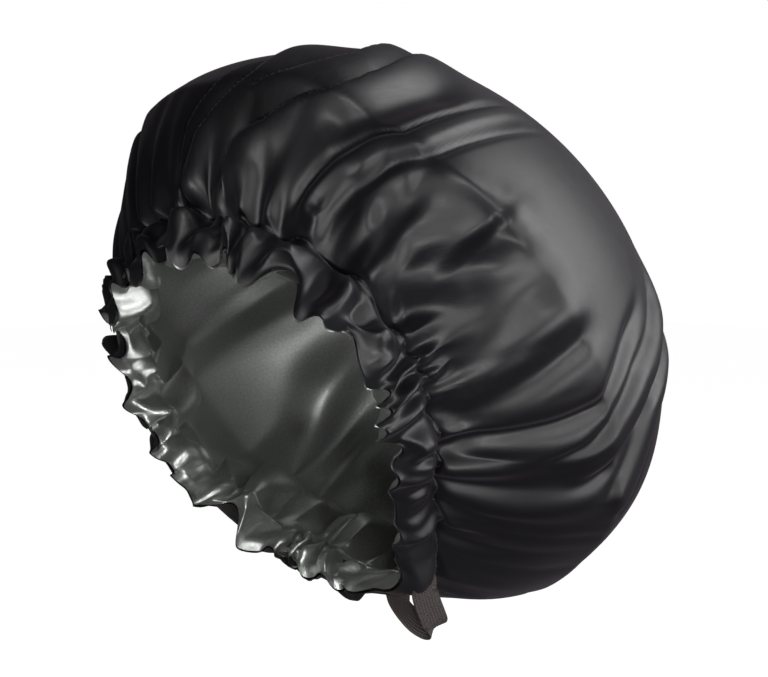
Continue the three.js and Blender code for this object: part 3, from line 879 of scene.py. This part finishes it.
def lining_points():
    """The lining's points, from the same points of the finished outer cloth."""
    number = len(ANGLE)
    outer = own_points(satin_shell)[:number]
    soft = softened(outer, 8)
    out = out_of_crown(satin_shell.data)[:number]
    out = softened(out, 8)
    out /= np.linalg.norm(out, axis=1)[:, None]
    near_seam = 1 - ease(UP, 0.0, 0.06)
    inner, _ = named_folds(ANGLE, UP, LINING_FOLDS)
    inner *= 0.8 + 0.7 * (1 - ease(UP, 0.12, 0.45))
    for band in LINING_BANDS:
        far = UP / by_angle(ANGLE, LINING_REACH, 13)
        rise = ease(far, band["start"], band["full"]) * (1 - ease(far, band["full"], band["end"]))
        drift = 6 * uneven_waves(ANGLE, 160, band["seed"] + 50) * UP
        wave = 0.9 + uneven_waves(ANGLE + drift, band["width"], band["seed"])
        inner = inner + band["height"] * by_angle(ANGLE, LINING_REACH, 13) * rise * wave
    depth = LINING_GAP * (1 - near_seam) + SEAM_GAP * near_seam + np.maximum(inner, 0)
    crown = soft * (1 - near_seam)[:, None] + outer * near_seam[:, None] - out * depth[:, None]
    return np.where((UP > 0)[:, None], crown, casing_point(ANGLE, np.clip(UP, -1, 0), -1))


def kept_inside(points, clearance=1.0, rounds=4):
    """Moves the crown's points in until each is clear of the outer cloth."""
    faces = [face.vertices[:] for face in satin_shell.data.polygons]
    tree = BVHTree.FromPolygons(own_points(satin_shell).tolist(), faces)
    middle = Vector((0, CROWN_DROOP, WIDEST_HEIGHT))
    points = points.copy()
    waiting = np.where(UP > 0)[0]
    for _ in range(rounds):
        moved = []
        for i in waiting:
            place = Vector(points[i])
            near, _, _, distance = tree.find_nearest(place)
            inside = (near - middle).length > (place - middle).length
            gap = distance if inside else -distance
            if gap < clearance:
                points[i] = place + (middle - place).normalized() * (clearance - gap + 0.2)
                moved.append(i)
        print("lining points moved in:", len(moved))
        waiting = moved
    return points


satin_lining = sheet_of_cloth("satin_lining", kept_inside(lining_points()))
subdivide(satin_lining)
remake_casing(satin_lining, -1)
for sheet in (satin_shell, satin_lining):
    sheet.data.calc_loop_triangles()
    area = sum(face.area for face in sheet.data.polygons)
    print(sheet.name, len(sheet.data.loop_triangles), "triangles,", round(area, 3), "square metres")

# %% [markdown]
# A row of machine stitches holds the two layers together along the seam. Each stitch is a short
# thread that dips into the cloth at both ends. They are made along the seam's own ring of points,
# so they ride up and down over every gather.

# %% Stitches
STITCH_LENGTH = 2.6
STITCH_GAP = 0.7
THREAD = 0.42  # drawn twice as thick as sewing thread, to show at this distance
STITCH_LIFT = np.array([-0.25, 0.18, 0.30, 0.30, 0.18, -0.25])  # off the cloth, along a stitch


def closed_line(points):
    """Length along a closed line and a function that gives its points."""
    closed = np.vstack([points, points[:1]])
    length = np.concatenate([[0], np.cumsum(np.linalg.norm(np.diff(closed, axis=0), axis=1))])
    whole = length[-1]

    def point_at(at):
        return np.stack([np.interp(at % whole, length, closed[:, k]) for k in range(3)], -1)

    return whole, point_at


def thread_tube(path, radius, sides=6):
    """Points and faces of a thin tube along a few points, closed at both ends."""
    path = np.asarray(path)
    along = np.gradient(path, axis=0)
    along /= np.linalg.norm(along, axis=1)[:, None]
    across = np.cross(along, [0.13, 0.31, 0.94])
    across /= np.linalg.norm(across, axis=1)[:, None]
    other = np.cross(along, across)
    points, faces = [], []
    for k, place in enumerate(path):
        thin = radius * (0.55 if k in (0, len(path) - 1) else 1)
        for s in range(sides):
            turn = 2 * math.pi * s / sides
            points.append(place + thin * (math.cos(turn) * across[k] + math.sin(turn) * other[k]))
    for k in range(len(path) - 1):
        for s in range(sides):
            a, b = k * sides + s, k * sides + (s + 1) % sides
            faces.append((a, b, b + sides, a + sides))
    faces.append(tuple(range(sides))[::-1])
    faces.append(tuple(len(points) - sides + s for s in range(sides)))
    return points, faces


def stitch_row(name, line, out):
    """A row of stitches along a closed line that lies on the cloth. Out points off the cloth."""
    length, at = closed_line(line)
    _, facing = closed_line(line + out)
    count = int(length / (STITCH_LENGTH + STITCH_GAP))
    points, faces = [], []
    for n in range(count):
        start = n * length / count
        places = start + np.linspace(0, STITCH_LENGTH, 6)
        path = at(places)
        away = facing(places) - path
        away /= np.maximum(np.linalg.norm(away, axis=1), 1e-6)[:, None]
        tube, rims = thread_tube(path + away * STITCH_LIFT[:, None], THREAD / 2)
        faces += [tuple(len(points) + v for v in rim) for rim in rims]
        points += tube
    print(name, count, "stitches round", round(length), "mm")
    return smooth_piece(name, np.array(points), faces)


# subdivision keeps the numbers of the first points, so the seam's ring is still the same
seam_ring = RINGS[CROWN_RINGS - 1]
seam_turn = np.radians(ANGLE[seam_ring])
radial = np.stack([np.cos(seam_turn), np.sin(seam_turn), 0 * seam_ring], -1)
shell_stitches = stitch_row("shell_stitches", own_points(satin_shell)[seam_ring], radial)
lining_stitches = stitch_row("lining_stitches", own_points(satin_lining)[seam_ring], -radial)

# %% [markdown]
# The strap is a piece of the same flat elastic, drawn out of the casing as a loop that a finger can
# pull. Flat elastic is woven with thick lengthwise ribs over thin rubber cores. The strap is made
# as a ribbon with those ribs in its own section, along a line that leaves the casing, narrows to
# the tip and comes back, and it is twisted a little, as it hangs in the photograph.

# %% The strap loop
RIB_COUNT = 9
RIB_HEIGHT = 0.2
TAIL_START = 11.5  # further aside than this, the strap lies in the casing and follows its round
STRAP_SPAN = 100  # millimetres across the strap's UV map
STRAP_PATH = (
    # out past the elastic's middle line, aside, along the crown's axis, and twist in degrees
    (-0.6, -21, 0, 0), (0, -17, 0, 0), (0.2, -12.6, -0.2, 0), (2.4, -9.6, -0.8, 10),
    (6, -7.2, -2.6, 26), (10.5, -5.6, -3.8, 34), (15.8, -4.0, -4.6, 34), (19.8, -2.4, -5.0, 34),
    (21.4, -0.6, -5.2, 32), (20.4, 1.6, -6.2, 26), (15.8, 4.2, -7.4, 10), (10.2, 6.8, -7.4, -12),
    (5, 9.4, -5.6, -18), (1.8, 11.0, -2.6, -8), (0.2, 12.8, -0.4, 0), (0, 17, 0, 0),
    (-0.6, 21, 0, 0),
)


def smooth_line(points, count):
    """A rounded line through points, by Catmull and Rom's curve."""
    points = np.asarray(points, float)
    padded = np.vstack([2 * points[0] - points[1], points, 2 * points[-1] - points[-2]])
    place = np.linspace(0, len(points) - 1 - 1e-9, count)
    k, t = place.astype(int), (place % 1)[:, None]
    a, b, c, d = padded[k], padded[k + 1], padded[k + 2], padded[k + 3]
    bend = (2 * a - 5 * b + 4 * c - d) * t**2
    return 0.5 * (2 * b + (c - a) * t + bend + (3 * b - a - 3 * c + d) * t**3)


def strap_section():
    """Half width and thickness of the strap's section, all round it, in millimetres."""
    across = np.linspace(-1, 1, 8 * RIB_COUNT + 1)
    rib = RIB_HEIGHT * np.abs(np.cos(across * math.pi * RIB_COUNT / 2))
    edge = np.sqrt(np.clip(1 - np.abs(across) ** 16, 0, 1))
    thick = edge * (ELASTIC_THICKNESS / 2 - RIB_HEIGHT + rib)
    top = np.stack([across * ELASTIC_WIDTH / 2, thick], -1)
    return np.vstack([top, top[-2:0:-1] * [1, -1]])


def ribbed_strap():
    """The ribbon along its path, with its length and width as its UV map."""
    middle = float(opening_radius(np.array([STRAP_ANGLE]))[0])
    path = []
    for out, aside, along_axis, twist in STRAP_PATH:
        turn = aside / middle if abs(aside) > TAIL_START else 0
        if turn:
            radius = float(opening_radius(np.array([STRAP_ANGLE + math.degrees(turn)]))[0]) + out
            path.append((radius * math.cos(turn), radius * math.sin(turn), along_axis, twist))
        else:
            path.append((middle + out, aside, along_axis, twist))
    line = smooth_line(path, 170)
    twist = np.radians(line[:, 3])
    line = line[:, :3]
    along = np.gradient(line, axis=0)
    along /= np.linalg.norm(along, axis=1)[:, None]
    wide = np.stack([0 * twist, -np.sin(twist), np.cos(twist)], -1)
    wide -= (wide * along).sum(-1)[:, None] * along
    wide /= np.linalg.norm(wide, axis=1)[:, None]
    thin = np.cross(along, wide)
    section = strap_section()
    points = line[:, None] + section[None, :, :1] * wide[:, None]
    points = points + section[None, :, 1:] * thin[:, None]
    c, s = math.cos(math.radians(STRAP_ANGLE)), math.sin(math.radians(STRAP_ANGLE))
    points = points.reshape(-1, 3) @ np.array([[c, s, 0], [-s, c, 0], [0, 0, 1]])
    n = len(section)
    faces = [
        (k * n + s, k * n + (s + 1) % n, (k + 1) * n + (s + 1) % n, (k + 1) * n + s)
        for k in range(len(line) - 1)
        for s in range(n)
    ]
    faces += [tuple(range(n))[::-1], tuple((len(line) - 1) * n + s for s in range(n))]
    piece = smooth_piece("ribbed_strap", points, faces)
    length = np.concatenate([[0], np.cumsum(np.linalg.norm(np.diff(line, axis=0), axis=1))])
    corner = corner_points(piece.data)
    across = section[corner % n, 0] + ELASTIC_WIDTH / 2
    uv = np.stack([length[corner // n] / STRAP_SPAN, across / STRAP_SPAN], -1)
    piece.data.uv_layers.new(name="along_strap").data.foreach_set("uv", uv.ravel())
    return piece


strap = ribbed_strap()
print("strap of", len(strap.data.polygons), "faces with", RIB_COUNT, "ribs")

# %% [markdown]
# Polyester satin is woven so that most of each warp thread floats on the face. The floats lie side
# by side like brushed hair, so the cloth mirrors light softly, and more along one direction than
# across it. That is anisotropic gloss, with the flat cloth as its direction. A little sheen stands
# for the fibres that stick out. Threads are 0.1 mm apart, too fine to show here, so the weave is
# drawn at 0.9 mm. Slubs vary the gloss. Small dents bend it, and the colour is painted darker in
# them as painted shade. The silver satin mirrors in its own colour, because bright filaments glint
# all through their depth, so its gloss is partly metallic.

# %% Satin
CLOTH_SPAN = 2 * (CROWN_LENGTH + CASING_WIDTH)  # millimetres across the UV map of the flat cloth
WEAVE_STEP = 0.9
WAVE_RATE = 3.1831  # waves in one unit of a wave texture with scale 1


def noise(tree, place, scale, detail, rough=0.5):
    """Cloudy variation."""
    values = {"Scale": scale, "Detail": detail, "Roughness": rough}
    return add_node(tree, "TexNoise", values=values, links={"Vector": (place, 0)})


def two_tone(tree, low, high, source, output=0):
    """A colour that goes from low to high as the source goes from 0 to 1."""
    colours = {6: linear(low), 7: linear(high)}
    return add_node(tree, "Mix", {"data_type": "RGBA"}, colours, {0: (source, output)})


def relief(tree, height, output, strength, depth, under=None):
    """Bumps of a depth in metres, on top of those of another node."""
    links = {"Height": (height, output)}
    if under:
        links["Normal"] = (under, 0)
    return add_node(tree, "Bump", values={"Strength": strength, "Distance": depth}, links=links)


def dress(piece, material):
    """Gives a piece its only material."""
    piece.data.materials.clear()
    piece.data.materials.append(material)


def satin(name, face, shade, rough, sheen, sheen_colour, specular, metal, weave_depth):
    """Warp-faced polyester satin. Face is its colour, and shade is a darker colour painted into the
    hollows of the crinkle as painted shade.
    """
    material, tree, output = new_material(name)
    flat = add_node(tree, "UVMap", {"uv_map": "flat_cloth"})
    span = {"Scale": CLOTH_SPAN}
    place = add_node(tree, "VectorMath", {"operation": "SCALE"}, span, {0: (flat, 0)})
    # warp threads, drawn 0.9 mm apart, and the shorter crossings of the weft
    warp = add_node(
        tree, "TexWave", {"bands_direction": "X"},
        {
            "Scale": 1 / WEAVE_STEP / WAVE_RATE, "Distortion": 1.2, "Detail": 2.0,
            "Detail Scale": 1.5,
        },
        {"Vector": (place, 0)},
    )
    slub_place = add_node(
        tree, "Mapping", values={"Scale": (0.9, 0.12, 1)}, links={"Vector": (place, 0)}
    )
    slubs = noise(tree, slub_place, 1.0, 3.0, 0.6)
    dents_and_painted_shade = noise(tree, place, 1 / 28, 4.0)
    grain = noise(tree, place, 1 / 1.3, 2.0, 0.7)
    # painted shade: the colour turns to the darker shade colour where the noise is low, in the
    # crinkle's dents
    tone = two_tone(tree, shade, face, dents_and_painted_shade)
    fleck = add_node(
        tree, "MapRange", values={1: 0.3, 2: 0.7, 3: 0.82, 4: 1.18}, links={0: (grain, 0)}
    )
    flecked = {0: (tone, 2), "Scale": (fleck, 0)}
    colour = add_node(tree, "VectorMath", {"operation": "SCALE"}, links=flecked)
    gloss_range = {1: 0.25, 2: 0.75, 3: rough - 0.05, 4: rough + 0.06}
    gloss = add_node(tree, "MapRange", values=gloss_range, links={0: (slubs, 0)})
    both = {0: (warp, 1), 2: (slubs, 0)}
    thread = add_node(tree, "Math", {"operation": "MULTIPLY_ADD"}, {1: 0.6}, both)
    weave = relief(tree, thread, 0, weave_depth, 0.00025)
    crinkle = relief(tree, dents_and_painted_shade, 0, 0.12, 0.0015, under=weave)
    direction = add_node(tree, "Tangent", {"direction_type": "UV_MAP", "uv_map": "flat_cloth"})
    cloth = add_node(
        tree, "BsdfPrincipled",
        values={
            "IOR": 1.55, "Specular IOR Level": specular, "Metallic": metal, "Anisotropic": 0.45,
            "Sheen Weight": sheen, "Sheen Roughness": 0.42, "Sheen Tint": linear(sheen_colour),
        },
        links={
            "Base Color": (colour, 0), "Roughness": (gloss, 0), "Normal": (crinkle, 0),
            "Tangent": (direction, 0),
        },
    )
    tree.links.new(cloth.outputs[0], output.inputs["Surface"])
    return material


# each shade colour below is painted shade, laid into the dents of the crinkle
black_satin = satin(
    "black_polyester_satin", face="#110f14", shade="#0a090c", rough=0.44, sheen=0.10,
    sheen_colour="#b9aeb8", specular=0.45, metal=0.0, weave_depth=0.10,
)
silver_satin = satin(
    "silver_polyester_satin", face="#b4b6b3", shade="#9fa29f", rough=0.38, sheen=0.05,
    sheen_colour="#dfe3df", specular=0.7, metal=0.85, weave_depth=0.10,
)
dress(satin_shell, black_satin)
dress(satin_lining, silver_satin)
print("satin:", black_satin.name, silver_satin.name)

# %% [markdown]
# Flat braided elastic is matt polyester yarn over rubber. Between its ribs lie rows of small
# slanted yarns. Sewing thread is polyester too, a little shinier than the elastic.

# %% Elastic and thread
YARN_STEP = 0.7
TWIST_STEP = 0.6


def braided_elastic(name):
    """Black polyester braid, warm and matt, with yarns 0.7 mm apart across the ribs."""
    material, tree, output = new_material(name)
    strip = add_node(tree, "UVMap", {"uv_map": "along_strap"})
    scale = {"Scale": float(STRAP_SPAN)}
    place = add_node(tree, "VectorMath", {"operation": "SCALE"}, scale, {0: (strip, 0)})
    slanted = add_node(
        tree, "Mapping", values={"Rotation": (0, 0, 0.5)}, links={"Vector": (place, 0)}
    )
    steps = {"Scale": 1 / YARN_STEP / WAVE_RATE, "Distortion": 0.6}
    yarn = add_node(tree, "TexWave", values=steps, links={"Vector": (slanted, 0)})
    fuzz = noise(tree, place, 2.2, 3.0)
    tone = two_tone(tree, "#141010", "#342b28", fuzz)
    both = {0: (yarn, 1), 2: (fuzz, 0)}
    height = add_node(tree, "Math", {"operation": "MULTIPLY_ADD"}, {1: 0.7}, both)
    bump = relief(tree, height, 0, 0.5, 0.0003)
    yarns = add_node(
        tree, "BsdfPrincipled",
        values={
            "Roughness": 0.62, "IOR": 1.5, "Sheen Weight": 0.4, "Sheen Roughness": 0.5,
            "Sheen Tint": linear("#8a7a72"),
        },
        links={"Base Color": (tone, 2), "Normal": (bump, 0)},
    )
    tree.links.new(yarns.outputs[0], output.inputs["Surface"])
    return material


def sewing_thread(name, colour, shade):
    """Spun polyester thread with its twist every 0.6 mm, with painted shade in the grooves of the
    twist.
    """
    material, tree, output = new_material(name)
    place = add_node(tree, "TexCoord")
    twist = add_node(
        tree, "TexWave", {"bands_direction": "DIAGONAL"},
        {"Scale": 1000 / TWIST_STEP / WAVE_RATE}, {"Vector": (place, "Object")},
    )
    # painted shade: the colour turns to the darker shade colour where the twist's bump is low, in
    # its grooves
    tone = two_tone(tree, shade, colour, twist, 1)
    bump = relief(tree, twist, 1, 0.3, 0.0001)
    spun = add_node(
        tree, "BsdfPrincipled", values={"Roughness": 0.5, "IOR": 1.5, "Sheen Weight": 0.2},
        links={"Base Color": (tone, 2), "Normal": (bump, 0)},
    )
    tree.links.new(spun.outputs[0], output.inputs["Surface"])
    return material


dress(strap, braided_elastic("black_braided_elastic"))
# the second colour of each thread, and of the elastic in the casing, is painted shade in the
# twist's grooves
dress(shell_stitches, sewing_thread("black_sewing_thread", "#1d1c1f", "#0a0a0b"))
dress(lining_stitches, sewing_thread("grey_sewing_thread", "#8f938f", "#5f625f"))
hidden_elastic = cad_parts["elastic_band"]
dress(hidden_elastic, sewing_thread("black_elastic_in_the_casing", "#2a2524", "#171413"))
print("strap and stitches have their finish")

# %% [markdown]
# Last, each piece is tied to the solid bonnet. Nothing on a bonnet turns on a joint, so all pieces
# ride on its one body. Both discs stand for the plain solids of the shell and the lining.

# %% Tie the pieces to the bonnet
for piece, finish in (
    (satin_shell, "black_satin"),
    (satin_lining, "silver_satin"),
    (strap, "black_elastic"),
    (shell_stitches, "black_satin"),
    (lining_stitches, "silver_satin"),
):
    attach(piece, "root")
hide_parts("outer_shell")
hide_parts("lining")
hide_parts("strap_loop")
visual_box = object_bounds()
for axis, low, high, cad_low, cad_high in zip("XYZ", *visual_box, *cad_box):
    proud = [round((cad_low - low) * 1000, 1), round((high - cad_high) * 1000, 1)]
    print(axis, "stands proud of the solids by", *proud, "mm")
